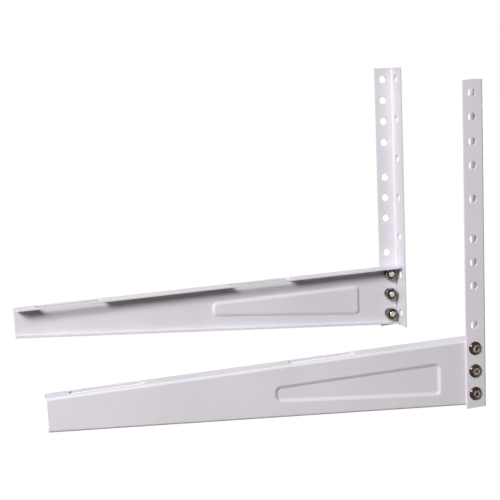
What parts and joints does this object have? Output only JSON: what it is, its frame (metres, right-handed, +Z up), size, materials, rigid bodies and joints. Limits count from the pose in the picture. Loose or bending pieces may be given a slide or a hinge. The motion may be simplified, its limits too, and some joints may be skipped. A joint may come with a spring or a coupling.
{
  "type": "air conditioner stand",
  "caption": "Pair of handed steel wall brackets for an outdoor air conditioner: drilled angle post, folded tapered arm with slotted top flange, cross-recess screws with nuts.",
  "frame": {"origin": "on the wall plane, midway between the two brackets, level with the bottom end of the right post", "axes": "+X along the wall towards the right bracket, +Y into the wall, +Z up; the arms reach towards -Y"},
  "size_m": [0.2152, 0.47, 0.364],
  "materials": {
    "powder_coat": "smooth satin powder coat",
    "plated_steel": "bright zinc plating with dark shadows"
  },
  "bodies": {
    "root": {"right_post": "powder_coat", "right_arm": "powder_coat", "left_post": "powder_coat", "left_arm": "powder_coat", "right_screw_1": "plated_steel", "right_screw_2": "plated_steel", "right_screw_3": "plated_steel", "right_washer_1": "plated_steel", "right_washer_2": "plated_steel", "right_washer_3": "plated_steel", "right_nut_1": "plated_steel", "right_nut_2": "plated_steel", "right_nut_3": "plated_steel", "left_screw_1": "plated_steel", "left_screw_2": "plated_steel", "left_screw_3": "plated_steel", "left_washer_1": "plated_steel", "left_washer_2": "plated_steel", "left_washer_3": "plated_steel", "left_nut_1": "plated_steel", "left_nut_2": "plated_steel", "left_nut_3": "plated_steel"}
  },
  "joints": []
}
